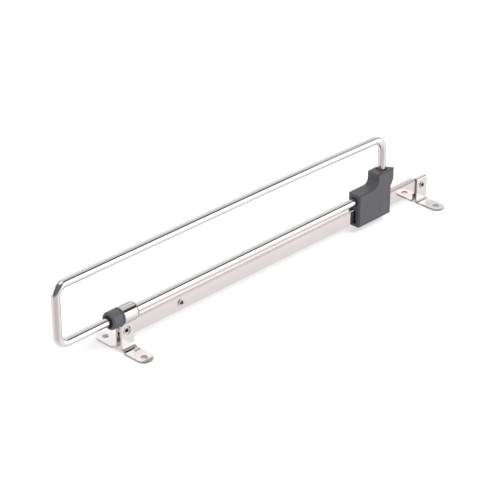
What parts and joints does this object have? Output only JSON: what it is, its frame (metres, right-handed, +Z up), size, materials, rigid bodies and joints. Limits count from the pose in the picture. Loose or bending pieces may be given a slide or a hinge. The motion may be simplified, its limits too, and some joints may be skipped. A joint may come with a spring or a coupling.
{
  "type": "pull-out trouser rack",
  "caption": "Pull-out hanging rail for a wardrobe: a chromed wire loop on a plastic carriage that slides out along a steel rail on two screw-down brackets.",
  "frame": {"origin": "middle of the overall footprint, on the plane under the four feet", "axes": "+Y runs along the rail towards its rear end, so the loop pulls out towards -Y; +Z is up from the feet to the loop; +X is to the right seen from the pull-out end"},
  "size_m": [0.0672, 0.4868, 0.0963],
  "materials": {
    "chromed_wire": "bright chrome on drawn steel wire",
    "chromed_rail": "bright chrome on rolled steel",
    "chromed_strip": "bright chrome on bent steel strip",
    "rivet_steel": "plated steel, rolled heads",
    "pin_steel": "blackened spring steel",
    "carriage_plastic": "fine moulded texture",
    "bush_plastic": "smooth moulded, slightly glossy"
  },
  "bodies": {
    "base": {"rail": "chromed_rail", "front_bracket": "chromed_strip", "rear_bracket": "chromed_strip", "guide_bush": "bush_plastic", "front_bracket_rivet": "rivet_steel", "rear_bracket_rivet": "rivet_steel", "stop_rivet": "rivet_steel"},
    "slider": {"wire_loop": "chromed_wire", "carriage": "carriage_plastic", "lower_wire_pin": "pin_steel", "rear_wire_pin": "pin_steel"}
  },
  "joints": [
    {"name": "pull_out", "type": "slide", "parent": "base", "child": "slider", "axis": [0, -1, 0], "range_m": [-0.044, 0.231]}
  ]
}
